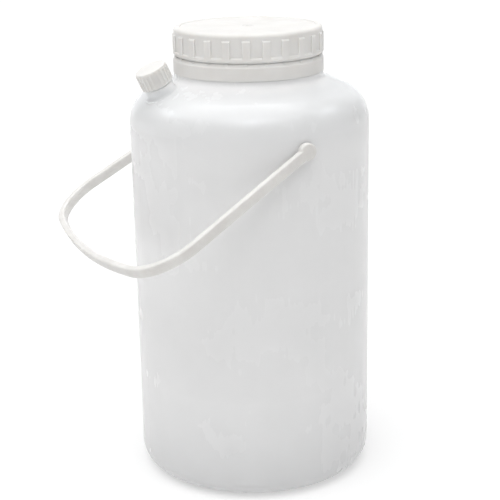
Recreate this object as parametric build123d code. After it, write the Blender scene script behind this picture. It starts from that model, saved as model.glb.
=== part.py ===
from build123d import *
import os
from math import acos, cos, degrees, hypot, radians, sin, sqrt, tan

# Round three-litre collection bottle with a wide screw cap, a capped pouring spout on the shoulder
# and a swinging carrying handle. The origin is the middle of the foot, +Z runs up the bottle's axis,
# the spout leans towards -X and the handle pivots about an axis along Y. Millimetres and degrees.

# Bottle shell, blow-moulded
body_r = 70.0
wall = 1.5
straight_top_z = 212.5      # where the straight side ends and the shoulder starts to curve
foot_corner_r = 13.0
push_up_r = 46.0            # the base is pushed up inside this radius, so it stands on a ring
push_up_rise = 4.0
push_up_bend_r = 2.0
shoulder_r = 20.8
shoulder_slope = 25.0
neck_r = 39.6               # outside of the neck at the root of its thread
neck_wall = 2.0
collar_step = 3.8           # how far the collar under the tamper ring stands out from the neck
collar_h = 2.88
collar_edge_r = 0.3
collar_bend_r = 3.0
rim_round_r = 0.6

# Screw closures: a trapezoid ridge on each wall
flank_gap = 0.4             # axial play between the two ridges on the side that pulls the cap down
bite = 0.3                  # how deep a ridge or rib is rooted in its wall

main_pitch = 6.0
main_ridge_h = 1.3
main_ridge_base = 2.2
main_ridge_tip = 1.2
main_side_gap = 0.4         # radial gap from a ridge's tip to the wall that it faces
main_thread_foot = 4.1      # from the skirt's edge up to the start of the neck's ridge
main_thread_head = 2.7      # from the end of the neck's ridge up to the rim
main_cap_thread_turns = 1.0

# Main cap, its liner and the tamper ring
main_cap_h = 16.3
main_cap_wall = 1.6
main_cap_top = 2.0
main_cap_edge_r = 2.0
main_cap_chamfer = 1.5
band_h = 2.6                # plain band round the skirt's foot, flush with the ribs
band_slope = 0.9            # height of the slope from the band back to the wall
recess_depth = 0.4
recess_rim = 3.7            # width of the raised rim round the recessed top
rib_count = 24
rib_turn = 3.0              # how far the first rib stands from +X
rib_h = 0.7
rib_w = 4.6
rib_slope = 0.9             # height of the slope at a rib's head
rib_round_r = 0.3
rib_top_gap = 3.5
liner_t = 1.2
liner_gap = 0.3             # radial gap of a liner inside its cap
ring_h = 9.55               # the ring rests on the collar
slit = 0.15                 # slit between the tamper ring and the cap's skirt
ring_bevel_in = 1.4
ring_bevel_down = 2.1
ring_foot_r = 0.3
hook_h = 2.3
hook_gap = 0.5
bead_out = 1.4
bead_gap = 0.4
bead_lip_h = 0.8
bead_h = 2.4
bridge_w = 1.8
bridge_in = 0.4
bridge_gap = 0.1

# Pouring spout, square to the shoulder's slope, and its cap
spout_clear = 4.8           # from the tamper ring to the small cap's lower edge
spout_bore_r = 4.8
spout_neck_r = 6.3
stub_r = 8.4
stub_h = 4.9
stub_bend_r = 2.0
stub_sink = 0.5             # how far the stub's flared foot lies under the shoulder's slope
stub_foot_lip = 0.5
stub_gap = 0.6
spout_pitch = 2.5
spout_ridge_h = 0.9
spout_ridge_base = 1.2
spout_ridge_tip = 0.6
spout_side_gap = 0.4
spout_thread_foot = 1.9
spout_thread_head = 1.3
spout_cap_thread_turns = 1.5
spout_cap_h = 10.4
spout_cap_wall = 1.5
spout_cap_top = 1.4
spout_cap_edge_r = 0.8
spout_liner_t = 0.8
spout_rib_count = 24
spout_rib_h = 0.35
spout_rib_w = 0.9
spout_rib_top_gap = 1.2

# Carrying handle: a flat strap bent in a bow, with round ends and inward pegs
pivot_drop = 6.3            # pivot axis below the top of the straight side
strap_t = 3.9
strap_w = 6.1
strap_edge_r = 0.9
handle_gap = 0.6            # side play between the handle's ends and the bottle
handle_reach = 120.2        # pivot axis to the middle of the grip
handle_droop = 30.0         # how far the handle hangs below level
arm_flare = 5.8
corner_r = 30.0
grip_r = 278.0
hub_r = 4.8
hub_edge_r = 0.8
peg_r = 2.6
peg_l = 6.0
peg_round_r = 0.8
peg_gap = 0.08              # radial running clearance of a peg in its socket
peg_end_gap = 0.6

# Heights and radii that follow from the sizes above
shoulder_corner_z = straight_top_z + shoulder_r * tan(radians((90 - shoulder_slope) / 2))


def slope_z(r, inset=0.0):
    """Height of the shoulder's straight slope at radius r, sunk by inset square to the slope."""
    slope = radians(shoulder_slope)
    return shoulder_corner_z + (body_r - r) * tan(slope) - inset / cos(slope)


neck_bore_r = neck_r - neck_wall
collar_r = neck_r + collar_step
collar_top_z = slope_z(collar_r) + collar_h
ring_z = collar_top_z
skirt_z = ring_z + ring_h + slit
cap_top_z = skirt_z + main_cap_h
rim_z = cap_top_z - main_cap_top - liner_t
main_bore_r = neck_r + main_ridge_h + main_side_gap
main_cap_r = main_bore_r + main_cap_wall
ring_r = main_cap_r + rib_h
hook_top_z = ring_z + ring_foot_r + hook_h
bead_z = hook_top_z + bead_gap

spout_cap_bore_r = spout_neck_r + spout_ridge_h + spout_side_gap
spout_cap_r = spout_cap_bore_r + spout_cap_wall
spout_skirt_h = stub_h + stub_gap
spout_cap_top_h = spout_skirt_h + spout_cap_h
spout_rim_h = spout_cap_top_h - spout_cap_top - spout_liner_t
spout_foot_r = (
    ring_r + spout_clear
    + (spout_cap_r + spout_rib_h) * cos(radians(shoulder_slope))
    - spout_skirt_h * sin(radians(shoulder_slope))
)
spout_frame = Plane(
    origin=(-spout_foot_r, 0, slope_z(spout_foot_r)),
    x_dir=(0, 1, 0),
    z_dir=(-sin(radians(shoulder_slope)), 0, cos(radians(shoulder_slope))),
)

pivot_z = straight_top_z - pivot_drop
hub_face = body_r + handle_gap
handle_frame = Plane(
    origin=(0, 0, pivot_z),
    x_dir=(0, 1, 0),
    z_dir=(-sin(radians(handle_droop)), 0, cos(radians(handle_droop))),
)
socket_r = peg_r + peg_gap
socket_bottom = hub_face - peg_l - peg_end_gap


def turned(corners, radii):
    """Solid turned about Z from a closed outline of (radius, height) corners, each with its own bend."""
    points = [(r, 0, z) for r, z in corners]
    outline = FilletPolyline(*points, radius=radii, close=True)
    return revolve(make_face(outline), Axis.Z)


def ridge(wall_r, tip_r, base, tip, pitch, low_z, turns):
    """Right-hand helical ridge, trapezoid in section, from the wall's radius to its tip's radius."""
    root_r = wall_r - bite if tip_r > wall_r else wall_r + bite
    widening = (base - tip) / 2 * bite / abs(tip_r - wall_r)
    half_root = base / 2 + widening
    half_tip = tip / 2
    section = make_face(
        Polyline(
            (root_r, 0, low_z - half_root),
            (tip_r, 0, low_z - half_tip),
            (tip_r, 0, low_z + half_tip),
            (root_r, 0, low_z + half_root),
            close=True,
        )
    )
    path = Pos(0, 0, low_z) * Wire(Edge.make_helix(pitch, pitch * turns, wall_r))
    return sweep(section, path=path, is_frenet=True)


def ridge_offset(base, tip, height, side_gap):
    """How far a cap's ridge sits below its neck's, so that their facing flanks are flank_gap apart."""
    shared = (base - tip) / height * (height + side_gap) / 2
    return base - shared + flank_gap


def ribs(count, turn, wall_r, height, width, low_z, high_z, head_slope, round_r):
    """Upright grip ribs spread round a cap's side, their heads sloped and their long edges rounded."""
    root_r = wall_r - bite
    crest_r = wall_r + height
    outline = [(root_r, low_z), (crest_r, low_z), (crest_r, high_z - head_slope), (wall_r, high_z), (root_r, high_z)]
    side = make_face(Polyline(*[(r, 0, z) for r, z in outline], close=True))
    rib = extrude(side, width / 2, both=True)
    if round_r:
        rib = fillet(rib.edges().filter_by(Axis.Z).group_by(Axis.X)[-1], round_r)
    return [Rot(0, 0, turn + 360 / count * i) * rib for i in range(count)]


def shell_outline(inset):
    """Corners and bends of the bottle from the middle of its base to its shoulder, sunk by inset."""
    shift = inset * (sqrt(2) - 1)
    slope_foot_z = slope_z(body_r - inset, inset)
    corners = [
        (0, push_up_rise + inset),
        (push_up_r - push_up_rise + shift, push_up_rise + inset),
        (push_up_r + shift, inset),
        (body_r - inset, inset),
        (body_r - inset, slope_foot_z),
    ]
    radii = [0, push_up_bend_r, push_up_bend_r, foot_corner_r - inset, shoulder_r - inset]
    return corners, radii


def bottle_outside():
    """Outside of the bottle as one solid: body, collar, plain neck and locking bead."""
    corners, radii = shell_outline(0)
    corners += [
        (collar_r, slope_z(collar_r)),
        (collar_r, collar_top_z),
        (neck_r, collar_top_z),
        (neck_r, rim_z),
        (0, rim_z),
    ]
    radii += [collar_bend_r - collar_edge_r, collar_edge_r, 0, rim_round_r, 0]
    bead = turned(
        [
            (neck_r - bite, bead_z),
            (neck_r + bead_out, bead_z),
            (neck_r + bead_out, bead_z + bead_lip_h),
            (neck_r, bead_z + bead_h),
            (neck_r - bite, bead_z + bead_h),
        ],
        0,
    )
    return turned(corners, radii) + bead


def bottle_inside():
    """The space inside the bottle and its neck, up through the rim."""
    corners, radii = shell_outline(wall)
    open_z = rim_z + wall
    corners += [(neck_bore_r, slope_z(neck_bore_r, wall)), (neck_bore_r, open_z), (0, open_z)]
    radii += [collar_bend_r + wall, 0, 0]
    return turned(corners, radii)


def spout_outside():
    """Stub and neck of the spout about its own axis, with a flared foot rooted under the shoulder."""
    root = -2 * wall
    foot_r = stub_r + stub_bend_r + stub_foot_lip
    return turned(
        [
            (0, root),
            (foot_r, root),
            (foot_r, -stub_sink),
            (stub_r, -stub_sink),
            (stub_r, stub_h),
            (spout_neck_r, stub_h),
            (spout_neck_r, spout_rim_h),
            (0, spout_rim_h),
        ],
        [0, 0, 0, stub_bend_r, rim_round_r, 0, rim_round_r, 0],
    )


def bottle_body():
    """Blown shell with its threaded neck, threaded spout and the two blind pivot sockets."""
    shell = bottle_outside() + spout_frame.location * spout_outside() - bottle_inside()
    bore_l = spout_rim_h + 4 * wall
    bore = Pos(0, 0, spout_rim_h - bore_l / 2 + wall) * Cylinder(spout_bore_r, bore_l)
    shell -= spout_frame.location * bore
    for side in (1, -1):
        boss_l = body_r - wall / 2 - socket_bottom + wall
        boss = Rot(-90 * side, 0, 0) * Cylinder(
            socket_r + wall, boss_l, align=(Align.CENTER, Align.CENTER, Align.MIN)
        )
        shell += Pos(0, side * (socket_bottom - wall), pivot_z) * boss
        hole = Rot(-90 * side, 0, 0) * Cylinder(
            socket_r, body_r - socket_bottom + wall, align=(Align.CENTER, Align.CENTER, Align.MIN)
        )
        shell -= Pos(0, side * socket_bottom, pivot_z) * hole
    main_low_z = skirt_z + main_thread_foot
    main_turns = (rim_z - main_thread_head - main_low_z) / main_pitch
    shell += ridge(
        neck_r, neck_r + main_ridge_h, main_ridge_base, main_ridge_tip, main_pitch, main_low_z, main_turns
    )
    spout_low = spout_skirt_h + spout_thread_foot
    spout_turns = (spout_rim_h - spout_thread_head - spout_low) / spout_pitch
    shell += spout_frame.location * ridge(
        spout_neck_r, spout_neck_r + spout_ridge_h, spout_ridge_base, spout_ridge_tip,
        spout_pitch, spout_low, spout_turns,
    )
    return shell


def tamper_ring():
    """Ring left on the neck when the cap comes off: hook below the bead, bevelled top, bridge stubs."""
    top_z = ring_z + ring_h
    hook_r = neck_r + hook_gap
    ring = turned(
        [
            (main_bore_r, ring_z),
            (ring_r, ring_z),
            (ring_r, top_z - ring_bevel_down),
            (ring_r - ring_bevel_in, top_z),
            (main_bore_r, top_z),
            (main_bore_r, hook_top_z),
            (hook_r, hook_top_z),
            (hook_r, ring_z + ring_foot_r),
        ],
        [0, ring_foot_r, 0, 0, 0, 0, 0, 0],
    )
    inner = main_bore_r + bridge_in
    outer = main_cap_r
    low_z = top_z - ring_bevel_down
    high_z = skirt_z - bridge_gap
    bridge = Pos((inner + outer) / 2, 0, (low_z + high_z) / 2) * Box(outer - inner, bridge_w, high_z - low_z)
    step = 360 / rib_count
    return ring + [Rot(0, 0, rib_turn + step * i) * bridge for i in range(rib_count)]


def main_cap():
    """Wide screw cap: recessed top, ribs down to a plain band, and a ridge that runs under the neck's."""
    under_z = cap_top_z - main_cap_top
    recess_r = main_cap_r - recess_rim
    band_r = main_cap_r + rib_h
    band_top_z = skirt_z + band_h
    cap = turned(
        [
            (0, under_z),
            (main_bore_r, under_z),
            (main_bore_r, skirt_z),
            (band_r - main_cap_chamfer, skirt_z),
            (band_r, skirt_z + main_cap_chamfer),
            (band_r, band_top_z),
            (main_cap_r, band_top_z + band_slope),
            (main_cap_r, cap_top_z),
            (recess_r + recess_depth, cap_top_z),
            (recess_r, cap_top_z - recess_depth),
            (0, cap_top_z - recess_depth),
        ],
        [0, 0, 0, 0, 0, 0, 0, main_cap_edge_r, 0, 0, 0],
    )
    cap += ribs(
        rib_count, rib_turn, main_cap_r, rib_h, rib_w,
        band_top_z - bite, cap_top_z - rib_top_gap, rib_slope, rib_round_r,
    )
    drop = ridge_offset(main_ridge_base, main_ridge_tip, main_ridge_h, main_side_gap)
    return cap + ridge(
        main_bore_r, main_bore_r - main_ridge_h, main_ridge_base, main_ridge_tip, main_pitch,
        skirt_z + main_thread_foot - drop, main_cap_thread_turns,
    )


def cap_liner():
    """Sealing disc between the neck's rim and the wide cap."""
    return Pos(0, 0, rim_z + liner_t / 2) * Cylinder(main_bore_r - liner_gap, liner_t)


def spout_cap():
    """Small screw cap with fine grip ribs."""
    under = spout_cap_top_h - spout_cap_top
    cap = turned(
        [
            (0, under),
            (spout_cap_bore_r, under),
            (spout_cap_bore_r, spout_skirt_h),
            (spout_cap_r, spout_skirt_h),
            (spout_cap_r, spout_cap_top_h),
            (0, spout_cap_top_h),
        ],
        [0, 0, 0, 0, spout_cap_edge_r, 0],
    )
    cap += ribs(
        spout_rib_count, 0, spout_cap_r, spout_rib_h, spout_rib_w,
        spout_skirt_h, spout_cap_top_h - spout_rib_top_gap, spout_rib_h, 0,
    )
    drop = ridge_offset(spout_ridge_base, spout_ridge_tip, spout_ridge_h, spout_side_gap)
    cap += ridge(
        spout_cap_bore_r, spout_cap_bore_r - spout_ridge_h, spout_ridge_base, spout_ridge_tip,
        spout_pitch, spout_skirt_h + spout_thread_foot - drop, spout_cap_thread_turns,
    )
    return spout_frame.location * cap


def spout_cap_liner():
    """Sealing disc between the spout's rim and its cap."""
    disc = Cylinder(spout_cap_bore_r - liner_gap, spout_liner_t)
    return spout_frame.location * (Pos(0, 0, spout_rim_h + spout_liner_t / 2) * disc)


def arc(centre, start, end):
    """Arc about a centre, the short way from start to end."""
    a = Vector(*start) - Vector(*centre)
    b = Vector(*end) - Vector(*centre)
    middle = Vector(*centre) + (a + b).normalized() * a.length
    return ThreePointArc(start, middle, end)


def strap_side(offset):
    """One edge of the strap from its right end round the grip to its left end, offset outwards."""
    flare = radians(arm_flare)
    out = (cos(flare), -sin(flare))
    along = (sin(flare), cos(flare))
    foot = (hub_face + strap_t / 2, 0)
    grip_centre = (0, grip_r - handle_reach)
    # The corner's centre lies corner_r inside the arm and grip_r - corner_r from the grip's centre
    base = (foot[0] - out[0] * corner_r, -out[1] * corner_r)
    gap = (base[0], base[1] + grip_centre[1])
    lead = gap[0] * along[0] + gap[1] * along[1]
    run = -lead + sqrt(lead**2 - gap[0] ** 2 - gap[1] ** 2 + (grip_r - corner_r) ** 2)
    corner = (base[0] + along[0] * run, base[1] + along[1] * run)
    spread = hypot(corner[0], corner[1] + grip_centre[1])
    ray = (corner[0] / spread, (corner[1] + grip_centre[1]) / spread)
    start = (foot[0] + out[0] * offset, out[1] * offset)
    bend_in = (corner[0] + out[0] * (corner_r + offset), corner[1] + out[1] * (corner_r + offset))
    bend_out = (corner[0] + ray[0] * (corner_r + offset), corner[1] + ray[1] * (corner_r + offset))
    mirror_in = (-bend_in[0], bend_in[1])
    mirror_out = (-bend_out[0], bend_out[1])
    return [
        Line(start, bend_in),
        arc(corner, bend_in, bend_out),
        arc((0, -grip_centre[1]), bend_out, mirror_out),
        arc((-corner[0], corner[1]), mirror_out, mirror_in),
        Line(mirror_in, (-start[0], start[1])),
    ]


def carry_handle():
    """Flat strap bent in a bow, a round hub at each end and a peg inwards from each hub."""
    inner = strap_side(-strap_t / 2)
    outer = strap_side(strap_t / 2)
    right = Line(inner[0] @ 0, outer[0] @ 0)
    left = Line(inner[-1] @ 1, outer[-1] @ 1)
    strap = extrude(make_face([right, *outer, left, *inner]), strap_w / 2, both=True)
    long_edges = strap.edges().filter_by(lambda e: abs(abs(e.center().Z) - strap_w / 2) < strap_w / 100)
    ends = long_edges.group_by(Axis.Y)[0]
    strap = fillet(long_edges - ends, strap_edge_r)
    for side in (1, -1):
        hub = Cylinder(hub_r, strap_t, align=(Align.CENTER, Align.CENTER, Align.MIN))
        hub = fillet(hub.edges().sort_by(Axis.Z)[-1], hub_edge_r)
        peg = Cylinder(peg_r, peg_l + strap_t / 2, align=(Align.CENTER, Align.CENTER, Align.MAX))
        peg = fillet(peg.edges().sort_by(Axis.Z)[0], peg_round_r)
        end = hub + Pos(0, 0, strap_t / 2) * peg
        strap += Pos(side * hub_face, 0, 0) * (Rot(0, 90 * side, 0) * end)
    return handle_frame.location * strap


pieces = {
    "bottle_body": bottle_body,
    "tamper_ring": tamper_ring,
    "main_cap": main_cap,
    "cap_liner": cap_liner,
    "spout_cap": spout_cap,
    "spout_cap_liner": spout_cap_liner,
    "carry_handle": carry_handle,
}
os.makedirs("parts", exist_ok=True)
for name, make in pieces.items():
    export_step(make(), f"parts/{name}.step")
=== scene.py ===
from math import cos, pi, radians, sin

import bpy
import numpy as np
from mathutils import Matrix, Vector


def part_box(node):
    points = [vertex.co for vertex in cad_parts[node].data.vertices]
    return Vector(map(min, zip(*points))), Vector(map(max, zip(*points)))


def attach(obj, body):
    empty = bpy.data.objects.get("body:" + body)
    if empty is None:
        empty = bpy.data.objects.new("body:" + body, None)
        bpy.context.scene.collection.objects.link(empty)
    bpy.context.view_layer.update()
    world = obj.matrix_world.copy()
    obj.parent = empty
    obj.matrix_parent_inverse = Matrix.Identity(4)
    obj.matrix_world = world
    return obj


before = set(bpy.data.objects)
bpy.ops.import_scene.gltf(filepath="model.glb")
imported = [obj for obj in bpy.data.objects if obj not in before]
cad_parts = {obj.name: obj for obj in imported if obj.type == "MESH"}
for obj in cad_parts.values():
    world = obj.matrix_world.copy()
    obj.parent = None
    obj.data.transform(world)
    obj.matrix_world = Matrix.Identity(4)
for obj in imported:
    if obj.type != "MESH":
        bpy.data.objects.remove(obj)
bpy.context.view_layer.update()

# ---------------------------------------------------------------------------------------------
# The studio: a white floor, an even white sky, one very wide soft sun from above, soft boxes that
# only show as highlights on the plastic, and a round white wall far out that lights nothing. The
# camera looks down on the shoulder through a long lens, with the spout leaning to the left.

VIEW_TURN = radians(25.4)
CAMERA_AWAY = 0.7796
CAMERA_UP = 0.3655
CAMERA_DIP = radians(16.70)
CAMERA_YAW = radians(-0.084)
CAMERA_ROLL = radians(-1.073)
CAMERA_LENS = 96.93
CAMERA_SENSOR = 36
CAMERA_NEAREST = 0.01


def camera_matrix():
    """Camera axes: forward dips by CAMERA_DIP, right and up roll by CAMERA_ROLL, then all turns about Z."""
    forward = Vector((
        sin(CAMERA_YAW) * cos(CAMERA_DIP),
        cos(CAMERA_YAW) * cos(CAMERA_DIP),
        -sin(CAMERA_DIP),
    ))
    right = Vector((cos(CAMERA_YAW), -sin(CAMERA_YAW), 0))
    up = right.cross(forward)
    rolled_right = right * cos(CAMERA_ROLL) + up * sin(CAMERA_ROLL)
    rolled_up = up * cos(CAMERA_ROLL) - right * sin(CAMERA_ROLL)
    axes = Matrix((rolled_right, rolled_up, -forward)).transposed()
    turn = Matrix.Rotation(-VIEW_TURN, 4, "Z")
    return turn @ Matrix.Translation((0, -CAMERA_AWAY, CAMERA_UP)) @ axes.to_4x4()


camera = bpy.data.objects.new("camera", bpy.data.cameras.new("camera"))
camera.data.sensor_width = CAMERA_SENSOR
camera.data.lens = CAMERA_LENS
camera.data.clip_start = CAMERA_NEAREST
camera.matrix_world = camera_matrix()
bpy.context.scene.collection.objects.link(camera)
bpy.context.scene.camera = camera
bpy.context.scene.view_settings.view_transform = "Standard"

WHITE = (1, 1, 1)
SUN_PLACE = (-0.1, -0.12, 1.2)
SUN_POWER = 3.2
SUN_ANGLE = radians(80)                  # wide enough that no shadow has an edge
FILL_PLACE = (-0.35, -2.0, 1.25)
FILL_AIM = (0, 0, 0.15)
FILL_WATTS = 5.0
FILL_SIZE = 1.2
BOX_TINT = (0.93, 0.965, 1)
# Each soft box: name, place, aim, width, height, watts
SOFT_BOXES = [
    ("box_back", (0.04, 0.5, 1.24), (0, -0.06, 0.23), 0.27, 0.22, 2.8),
    ("box_left", (-0.9, 0.18, 0.96), (-0.04, -0.05, 0.226), 0.36, 0.18, 1.6),
    ("box_right", (0.9, 0.16, 0.97), (0.04, -0.05, 0.226), 0.36, 0.18, 1.3),
    ("box_front", (0.02, -0.75, 1.15), (0, -0.067, 0.224), 0.24, 0.07, 1.6),
    ("box_backdrop", (0, 2.6, 1.1), (0, 0, 0.3), 4.2, 2.2, 24.0),
]


def studio_lamp(kind, name, place, aim, power, tint, **shape):
    """Lamp of that kind at place, facing aim, both turned with the camera's own heading."""
    turn = Matrix.Rotation(-VIEW_TURN, 3, "Z")
    lamp = bpy.data.lights.new(name, kind)
    lamp.energy = power
    lamp.color = tint
    for setting, value in shape.items():
        setattr(lamp, setting, value)
    holder = bpy.data.objects.new(name, lamp)
    start, end = turn @ Vector(place), turn @ Vector(aim)
    holder.location = start
    holder.rotation_mode = "QUATERNION"
    holder.rotation_quaternion = (end - start).to_track_quat("-Z", "Y")
    bpy.context.scene.collection.objects.link(holder)
    return holder


studio_lamp("SUN", "wide_sun", SUN_PLACE, (0, 0, 0), SUN_POWER, WHITE, angle=SUN_ANGLE)
for name, place, aim, width, height, watts in SOFT_BOXES:
    outline = {"shape": "RECTANGLE", "size": width, "size_y": height}
    box = studio_lamp("AREA", name, place, aim, watts, BOX_TINT, **outline)
    box.visible_diffuse = False
fill = studio_lamp(
    "AREA", "front_fill", FILL_PLACE, FILL_AIM, FILL_WATTS, WHITE, shape="SQUARE", size=FILL_SIZE,
)
fill.visible_glossy = False

SKY = 0.31
world = bpy.data.worlds.new("studio")
bpy.context.scene.world = world
world.use_nodes = True
world.node_tree.nodes["Background"].inputs["Color"].default_value = (*WHITE, 1)
world.node_tree.nodes["Background"].inputs["Strength"].default_value = SKY

FLOOR_HALF = 12.0
FLOOR_GREY = (0.5, 0.5, 0.5)
FLOOR_ROUGH = 0.9
FLOOR_GLOW = 0.43                        # lifts the grey floor to an even white
floor_mesh = bpy.data.meshes.new("floor")
corners = [(x * FLOOR_HALF, y * FLOOR_HALF, 0) for x, y in ((-1, -1), (1, -1), (1, 1), (-1, 1))]
floor_mesh.from_pydata(corners, [], [(0, 1, 2, 3)])
floor = bpy.data.objects.new("floor", floor_mesh)
bpy.context.scene.collection.objects.link(floor)
floor_paint = bpy.data.materials.new("floor_paint")
floor_paint.use_nodes = True
shader = floor_paint.node_tree.nodes["Principled BSDF"]
shader.inputs["Base Color"].default_value = (*FLOOR_GREY, 1)
shader.inputs["Roughness"].default_value = FLOOR_ROUGH
shader.inputs["Specular IOR Level"].default_value = 0.0
shader.inputs["Emission Color"].default_value = (*WHITE, 1)
shader.inputs["Emission Strength"].default_value = FLOOR_GLOW
floor_mesh.materials.append(floor_paint)

WALL_R = 11.9
WALL_H = 9.0
WALL_SIDES = 96
WALL_GLOW = 1.1                          # a little past white
angle = np.linspace(0, 2 * pi, WALL_SIDES, endpoint=False)
ring = np.stack([WALL_R * np.cos(angle), WALL_R * np.sin(angle), 0 * angle], axis=-1)
foot = np.arange(WALL_SIDES)
after = np.roll(foot, -1)
panels = np.stack([after, foot, foot + WALL_SIDES, after + WALL_SIDES], axis=-1)
wall_mesh = bpy.data.meshes.new("white_wall")
wall_mesh.from_pydata(np.concatenate([ring, ring + (0, 0, WALL_H)]).tolist(), [], panels.tolist())
white_wall = bpy.data.objects.new("white_wall", wall_mesh)
bpy.context.scene.collection.objects.link(white_wall)
wall_paint = floor_paint.copy()
wall_paint.name = "wall_paint"
wall_paint.node_tree.nodes["Principled BSDF"].inputs["Emission Strength"].default_value = WALL_GLOW
wall_mesh.materials.append(wall_paint)
white_wall.visible_diffuse = False
white_wall.visible_glossy = False
white_wall.visible_transmission = False
white_wall.visible_shadow = False

# ---------------------------------------------------------------------------------------------
# The bottle: one blow-moulded shell of natural high-density polyethylene, 1.5 mm thick and milky.
# Its two mould halves meet in the plane through the spout and leave a fine seam, the parison's
# draw leaves faint upright streaks, and the mould's blasted walls leave a soft orange peel.


class Wire:
    """A shader socket that Python arithmetic can use; each operator adds one Math node."""

    def __init__(self, paint, socket):
        self.paint = paint
        self.socket = socket

    def maths(self, operation, *others, swap=False):
        """Math node on this socket and the others, in the opposite order where swap is set."""
        values = [self, *others]
        if swap:
            values.reverse()
        return self.paint.node("ShaderNodeMath", {"operation": operation}, dict(enumerate(values)))

    def __add__(self, other):
        return self.maths("ADD", other)

    def __radd__(self, other):
        return self.maths("ADD", other)

    def __sub__(self, other):
        return self.maths("SUBTRACT", other)

    def __rsub__(self, other):
        return self.maths("SUBTRACT", other, swap=True)

    def __mul__(self, other):
        return self.maths("MULTIPLY", other)

    def __rmul__(self, other):
        return self.maths("MULTIPLY", other)

    def __truediv__(self, other):
        return self.maths("DIVIDE", other)

    def __rtruediv__(self, other):
        return self.maths("DIVIDE", other, swap=True)

    def __pow__(self, other):
        return self.maths("POWER", other)

    def __abs__(self):
        return self.maths("ABSOLUTE")

    def ramp(self, low, high, smooth=True):
        """0 below low and 1 above high, or the other way round where high is less than low."""
        settings = {"interpolation_type": "SMOOTHSTEP" if smooth else "LINEAR", "clamp": True}
        start, end = (0.0, 1.0) if low < high else (1.0, 0.0)
        low, high = sorted((low, high))
        sockets = {"Value": self, "From Min": low, "From Max": high, "To Min": start, "To Max": end}
        return self.paint.node("ShaderNodeMapRange", settings, sockets)


class Paint:
    """A new material with one Principled shader, and short ways to add nodes to it."""

    def __init__(self, name, **constants):
        self.material = bpy.data.materials.new(name)
        self.material.use_nodes = True
        self.tree = self.material.node_tree
        self.shader = self.tree.nodes["Principled BSDF"]
        for socket, value in constants.items():
            self.shader.inputs[socket.replace("_", " ")].default_value = value
        self.place = self.node("ShaderNodeTexCoord", {}, {}, "Object")
        parts = self.node("ShaderNodeSeparateXYZ", {}, {"Vector": self.place}, None)
        self.x, self.y, self.z = (Wire(self, parts.outputs[axis]) for axis in "XYZ")

    def node(self, kind, settings, sockets, output=0):
        """Add a node: its settings first, then a value or a link for each named or numbered socket."""
        made = self.tree.nodes.new(kind)
        for setting, value in settings.items():
            setattr(made, setting, value)
        for socket, value in sockets.items():
            if isinstance(value, Wire):
                self.tree.links.new(value.socket, made.inputs[socket])
            else:
                made.inputs[socket].default_value = value
        return made if output is None else Wire(self, made.outputs[output])

    def stretched(self, scale):
        """Object coordinates scaled along each axis; a pattern grows where the scale is less than 1."""
        return self.node("ShaderNodeVectorMath", {"operation": "MULTIPLY"}, {0: self.place, 1: scale})

    def noise(self, scale, detail=2.0, rough=0.5, where=None):
        """Perlin noise from 0 to 1 with scale cells to the metre."""
        sockets = {"Vector": where or self.place, "Scale": scale, "Detail": detail, "Roughness": rough}
        return self.node("ShaderNodeTexNoise", {}, sockets)

    def cells(self, scale):
        """Voronoi distance with scale cells to the metre."""
        return self.node("ShaderNodeTexVoronoi", {}, {"Vector": self.place, "Scale": scale}, "Distance")

    def blend(self, share, low, high):
        """Colour between low and high by share; a Mix node's colours are inputs 6 and 7 and output 2."""
        low, high = (end if isinstance(end, Wire) else (*end, 1) for end in (low, high))
        return self.node("ShaderNodeMix", {"data_type": "RGBA"}, {0: share, 6: low, 7: high}, 2)

    def wear(self, colour, relief, rough=None):
        """Join colour and roughness to the shader, and stack reliefs given as (height, metres)."""
        self.tree.links.new(colour.socket, self.shader.inputs["Base Color"])
        if rough is not None:
            self.tree.links.new(rough.socket, self.shader.inputs["Roughness"])
        below = {}
        for height, depth in relief:
            sockets = {"Height": height, "Distance": depth, "Strength": 1.0, **below}
            below = {"Normal": self.node("ShaderNodeBump", {}, sockets)}
        self.tree.links.new(below["Normal"].socket, self.shader.inputs["Normal"])


def dress(node, paint):
    """Give a CAD node's object this paint alone."""
    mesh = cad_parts[node].data
    mesh.materials.clear()
    mesh.materials.append(paint.material)


SHELL_THIN = (0.92, 0.925, 0.929)        # where the wall is thin
SHELL_THICK = (0.958, 0.961, 0.964)      # where it is thick
CLOUD_CELLS = 19                         # to the metre, as all cells here are
STREAK_CELLS = 260
STREAK_SCALE = (1, 1, 0.035)             # stretches the streaks up the wall
STREAK_SHARE = 0.12                      # of the thickness; the clouds have the rest
SHELL_SHOULDER_SHADE = (0.745, 0.757, 0.766)      # painted shade that darkens the shoulder's top-lit bend
SHOULDER_SHADE_FROM, SHOULDER_SHADE_TO = 0.195, 0.23
NECK_FROM, NECK_TO = 0.2335, 0.2385      # the painted shoulder shade fades out again here, towards the neck
SHELL_FOOT_SHADE = (0.62, 0.622, 0.626)        # painted shade towards the foot, standing in for the little light that comes down through the milky shoulder
FOOT_SHADE_TOP = 0.06
FOOT_SCUFF_AND_CONTACT_SHADE = (0.5, 0.5, 0.49)            # painted contact shadow along the standing ring's edge, in patches like scuffs
FOOT_SCUFF_AND_SHADE_TOP = 0.0022
SCUFF_AND_SHADE_CELLS = 160
SHELL_ROUGH = 0.24
CLOUD_ROUGHENS, STREAK_ROUGHENS, SCUFF_ROUGHENS = 0.05, 0.01, 0.3
WAVE_CELLS, WAVE_HEIGHT = 28, 0.0007     # the slow waves of a blown wall
PEEL_CELLS, PEEL_HEIGHT = 620, 0.000006  # the blasted mould's orange peel
SEAM_HALF, SEAM_TOP_HALF, SEAM_HEIGHT = 0.00035, 0.00014, 0.00012
shell_paint = Paint(
    "natural_hdpe", Subsurface_Weight=1.0, Subsurface_Scale=1.0, Subsurface_Radius=(0.0048, 0.0048, 0.0048),
    IOR=1.5, Specular_IOR_Level=0.4,
)
streaks = shell_paint.noise(STREAK_CELLS, detail=3, where=shell_paint.stretched(STREAK_SCALE))
clouds = shell_paint.noise(CLOUD_CELLS, detail=3, rough=0.6)
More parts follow.
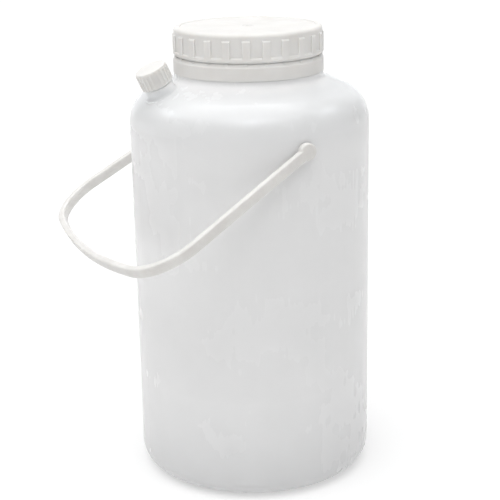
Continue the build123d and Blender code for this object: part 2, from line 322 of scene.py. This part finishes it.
seam = abs(shell_paint.y).ramp(SEAM_HALF, SEAM_TOP_HALF)
thick = clouds * (1 - STREAK_SHARE) + streaks * STREAK_SHARE
wall_colour = shell_paint.blend(thick.ramp(0.28, 0.72), SHELL_THIN, SHELL_THICK)
# Painted shade: the shoulder's bend is darkened, and the shade fades out again towards the neck.
shoulder_shade = shell_paint.z.ramp(SHOULDER_SHADE_FROM, SHOULDER_SHADE_TO) * shell_paint.z.ramp(NECK_TO, NECK_FROM)
shoulder_shaded_colour = shell_paint.blend(shoulder_shade, wall_colour, SHELL_SHOULDER_SHADE)
# Painted shade: the shell's colour grows darker towards the foot.
above_foot_shade = shell_paint.z.ramp(0.0, FOOT_SHADE_TOP, smooth=False)
foot_shaded_colour = shell_paint.blend(above_foot_shade, SHELL_FOOT_SHADE, shoulder_shaded_colour)
# Painted contact shadow in patches along the foot's lowest edge; the same patches roughen it like scuffs.
patches = shell_paint.noise(SCUFF_AND_SHADE_CELLS, detail=4).ramp(0.2, 0.6)
scuff_and_contact_shade = shell_paint.z.ramp(FOOT_SCUFF_AND_SHADE_TOP, 0.0) * patches
shell_paint.wear(
    colour=shell_paint.blend(scuff_and_contact_shade, foot_shaded_colour, FOOT_SCUFF_AND_CONTACT_SHADE),
    rough=SHELL_ROUGH + clouds * CLOUD_ROUGHENS + streaks * STREAK_ROUGHENS + scuff_and_contact_shade * SCUFF_ROUGHENS,
    relief=[
        (shell_paint.noise(WAVE_CELLS, detail=1), WAVE_HEIGHT),
        (shell_paint.noise(PEEL_CELLS, detail=1), PEEL_HEIGHT),
        (seam, SEAM_HEIGHT),
    ],
)
dress("bottle_body", shell_paint)

# ---------------------------------------------------------------------------------------------
# The pinch-off: the scar across the pushed-up base, along the mould's parting plane, where the two
# mould halves nipped the parison shut. It is the bottle's own plastic, and stays clear of the shelf.

PINCH_HALF_LENGTH = 0.039
PINCH_HALF_WIDTH = 0.0011
PINCH_DROP = 0.0007                      # how far the scar stands below the pushed-up base
PINCH_RIPPLES = ((0.12, 41), (0.07, 97))  # each one's share of the size, and its radians to an end
PUSH_UP_Z = 0.004


def closed_skin(name, rings):
    """Mesh over a grid of rings, each closed on itself; the first and the last ring are one point each.

    Rings run against the clock as seen from the side that they advance to, so faces look outwards.
    """
    count, around, _ = rings.shape
    points = np.concatenate([rings[0, :1], rings[1:-1].reshape(-1, 3), rings[-1, :1]])
    index = 1 + np.arange((count - 2) * around).reshape(count - 2, around)
    onward = np.roll(index, -1, axis=1)
    sides = np.stack([index[:-1], onward[:-1], onward[1:], index[1:]], axis=-1).reshape(-1, 4)
    first = np.stack([np.zeros(around, int), onward[0], index[0]], axis=-1)
    last = np.stack([np.full(around, len(points) - 1), index[-1], onward[-1]], axis=-1)
    mesh = bpy.data.meshes.new(name)
    mesh.from_pydata(points.tolist(), [], sides.tolist() + first.tolist() + last.tolist())
    mesh.polygons.foreach_set("use_smooth", np.ones(len(mesh.polygons), bool))
    made = bpy.data.objects.new(name, mesh)
    bpy.context.scene.collection.objects.link(made)
    return made


def pinch_scar(steps=72, around=20):
    """Bar along X: an ellipse, times a ripple, times the root of 1 less the way out to the power 6."""
    along = np.sin(np.linspace(-pi / 2, pi / 2, steps))[:, None]
    angle = np.linspace(0, 2 * pi, around, endpoint=False)[None, :]
    ripple = sum(share * np.sin(along * radians_out) for share, radians_out in PINCH_RIPPLES)
    size = np.sqrt(np.clip(1 - along**6, 0, 1)) * (1 + ripple)
    x = along * PINCH_HALF_LENGTH + 0 * angle
    y = size * PINCH_HALF_WIDTH * np.cos(angle)
    z = PUSH_UP_Z + size * PINCH_DROP * np.sin(angle)
    return closed_skin("pinch_off", np.stack([x, y, z], axis=-1))


pinch_off = pinch_scar()
pinch_off.data.materials.append(shell_paint.material)
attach(pinch_off, "bottle")

# ---------------------------------------------------------------------------------------------
# The wide cap and the tamper ring below it, and the spout's small cap: injection-moulded
# polypropylene, warm white and satin. Their moulds are spark-eroded to a fine grain, the wide cap's
# crests are rubbed smoother, and the flow from the gate leaves faint rays and clouds in the colour.

PP_WARM = (0.668, 0.654, 0.632)
PP_PALE = (0.715, 0.705, 0.688)
CREST_DEPTH = 0.0004                     # how far in from the ribs' crests they are rubbed
WIDE_CREST_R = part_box("main_cap")[1][0]
NO_CREST_R = 1.0                         # past everything, so the small cap isn't rubbed
WIDE_RAYS, SMALL_RAYS = 5.0, 9.0         # cells of the rays' noise to each unit of their direction
RAY_SHARE = 0.4                          # of the colour's drift; the clouds of flow have the rest
RAY_CHANGE = 12                          # how fast the rays change outwards and upwards
AXIS_GAP = 0.001                         # keeps the rays' direction sound on the axis itself
FLOW_CELLS, FLOW_HEIGHT = 60, 0.0002
GRAIN_CELLS, GRAIN_HEIGHT = 1500, 0.00003
RAY_HEIGHT = 0.00003
RUB_CELLS = 300
CAP_ROUGH = 0.46
GRAIN_ROUGHENS, FLOW_ROUGHENS, RUBBING_SMOOTHS = 0.12, 0.06, 0.12


def cap_paint(name, ray_cells, crest_r):
    """Satin polypropylene: rays of flow round Z, a spark-eroded grain, and crests rubbed smooth."""
    paint = Paint(
        name, Subsurface_Weight=0.6, Subsurface_Scale=1.0, Subsurface_Radius=(0.0026, 0.0024, 0.0022),
        IOR=1.49, Specular_IOR_Level=0.3,
    )
    radius = (paint.x * paint.x + paint.y * paint.y) ** 0.5
    across, along = paint.x / (radius + AXIS_GAP), paint.y / (radius + AXIS_GAP)
    change = radius * RAY_CHANGE + paint.z * RAY_CHANGE
    direction = paint.node("ShaderNodeCombineXYZ", {}, {"X": across, "Y": along, "Z": change})
    rays = paint.noise(ray_cells, detail=3, where=direction)
    flow = paint.noise(FLOW_CELLS, detail=3)
    grain = paint.noise(GRAIN_CELLS)
    rubbed = radius.ramp(crest_r - CREST_DEPTH, crest_r) * paint.noise(RUB_CELLS).ramp(0.35, 0.6)
    shade = (flow * (1 - RAY_SHARE) + rays * RAY_SHARE).ramp(0.3, 0.7)
    paint.wear(
        colour=paint.blend(shade, PP_WARM, PP_PALE),
        rough=CAP_ROUGH + grain * GRAIN_ROUGHENS + flow * FLOW_ROUGHENS - rubbed * RUBBING_SMOOTHS,
        relief=[(flow, FLOW_HEIGHT), (rays, RAY_HEIGHT), (grain, GRAIN_HEIGHT)],
    )
    return paint


wide_cap_paint = cap_paint("satin_white_pp", WIDE_RAYS, WIDE_CREST_R)
dress("main_cap", wide_cap_paint)
dress("tamper_ring", wide_cap_paint)
dress("spout_cap", cap_paint("satin_white_pp_small", SMALL_RAYS, NO_CREST_R))

# ---------------------------------------------------------------------------------------------
# The gate mark in the middle of the wide cap's recess, where the plastic came into the mould: a
# low pip inside a shallow ring. It is moulded with the cap and lies below the cap's raised rim.

RECESS_DEPTH = 0.0004
RECESS_FLOOR_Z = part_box("main_cap")[1][2] - RECESS_DEPTH
# Radius and height above the recess's floor, in metres, from the hidden underside up to the pip's tip
GATE_PROFILE = np.array([
    (0.0, -0.0003), (0.0029, -0.0003), (0.0032, -0.0001), (0.0032, 0.0001), (0.00305, 0.0002),
    (0.0028, 0.0002), (0.0026, 0.0001), (0.0025, 0.00003), (0.0013, 0.00003), (0.0011, 0.0001),
    (0.0009, 0.00026), (0.0006, 0.0003), (0.0003, 0.00032), (0.0, 0.00032),
])


def gate_pip(around=48):
    """GATE_PROFILE turned about Z: each ring is a circle of the profile's radius at its height."""
    angle = np.linspace(0, 2 * pi, around, endpoint=False)[None, :]
    radius = GATE_PROFILE[:, :1]
    height = RECESS_FLOOR_Z + GATE_PROFILE[:, 1:] + 0 * angle
    rings = np.stack([radius * np.cos(angle), radius * np.sin(angle), height], axis=-1)
    return closed_skin("gate_mark", rings)


gate_mark = gate_pip()
gate_mark.data.materials.append(wide_cap_paint.material)
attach(gate_mark, "main_cap")

# ---------------------------------------------------------------------------------------------
# The sealing discs: closed-cell polyethylene foam, pressed into the roof of each cap. The cut
# faces show the foam's fine cells.

FOAM_SHADE = (0.82, 0.82, 0.8)
FOAM_WHITE = (0.9, 0.9, 0.885)
FOAM_CELLS = 1700
FOAM_CELL_DEPTH = 0.0001
foam_paint = Paint("liner_foam", Roughness=0.85)
bubbles = foam_paint.cells(FOAM_CELLS)
foam_paint.wear(
    colour=foam_paint.blend(bubbles.ramp(0.1, 0.6), FOAM_SHADE, FOAM_WHITE),
    relief=[(bubbles, FOAM_CELL_DEPTH)],
)
dress("cap_liner", foam_paint)
dress("spout_cap_liner", foam_paint)

# ---------------------------------------------------------------------------------------------
# The carrying handle: an injection-moulded strap of white polyethylene, sprung open over the
# bottle and snapped with its two pegs into the blind sockets under the shoulder. Its mould parts
# along the strap's mid-plane and leaves a fine line there.

STRAP_LEAN = radians(30)                 # how far the strap's mid-plane hangs below level
PIVOT_Z = 0.2062
PARTING_HALF, PARTING_TOP_HALF, PARTING_HEIGHT = 0.00012, 0.000036, 0.00008
STRAP_DULL = (0.635, 0.622, 0.603)
STRAP_WHITE = (0.68, 0.67, 0.653)
STRAP_SCUFF_CELLS, STRAP_SCUFF_HEIGHT = 90, 0.0002
STRAP_PEEL_CELLS, STRAP_PEEL_HEIGHT = 900, 0.00004
STRAP_ROUGH = 0.42
STRAP_SCUFF_ROUGHENS = 0.16
handle_paint = Paint(
    "handle_hdpe", Subsurface_Weight=0.4, Subsurface_Scale=1.0, Subsurface_Radius=(0.003, 0.003, 0.0028),
    IOR=1.5, Specular_IOR_Level=0.35,
)
scuffs = handle_paint.noise(STRAP_SCUFF_CELLS, detail=5, rough=0.65)
peel = handle_paint.noise(STRAP_PEEL_CELLS)
off_plane = handle_paint.x * -sin(STRAP_LEAN) + (handle_paint.z - PIVOT_Z) * cos(STRAP_LEAN)
parting = abs(off_plane).ramp(PARTING_HALF, PARTING_TOP_HALF)
handle_paint.wear(
    colour=handle_paint.blend(scuffs.ramp(0.35, 0.65), STRAP_DULL, STRAP_WHITE),
    rough=STRAP_ROUGH + scuffs * STRAP_SCUFF_ROUGHENS,
    relief=[(scuffs, STRAP_SCUFF_HEIGHT), (peel, STRAP_PEEL_HEIGHT), (parting, PARTING_HEIGHT)],
)
dress("carry_handle", handle_paint)
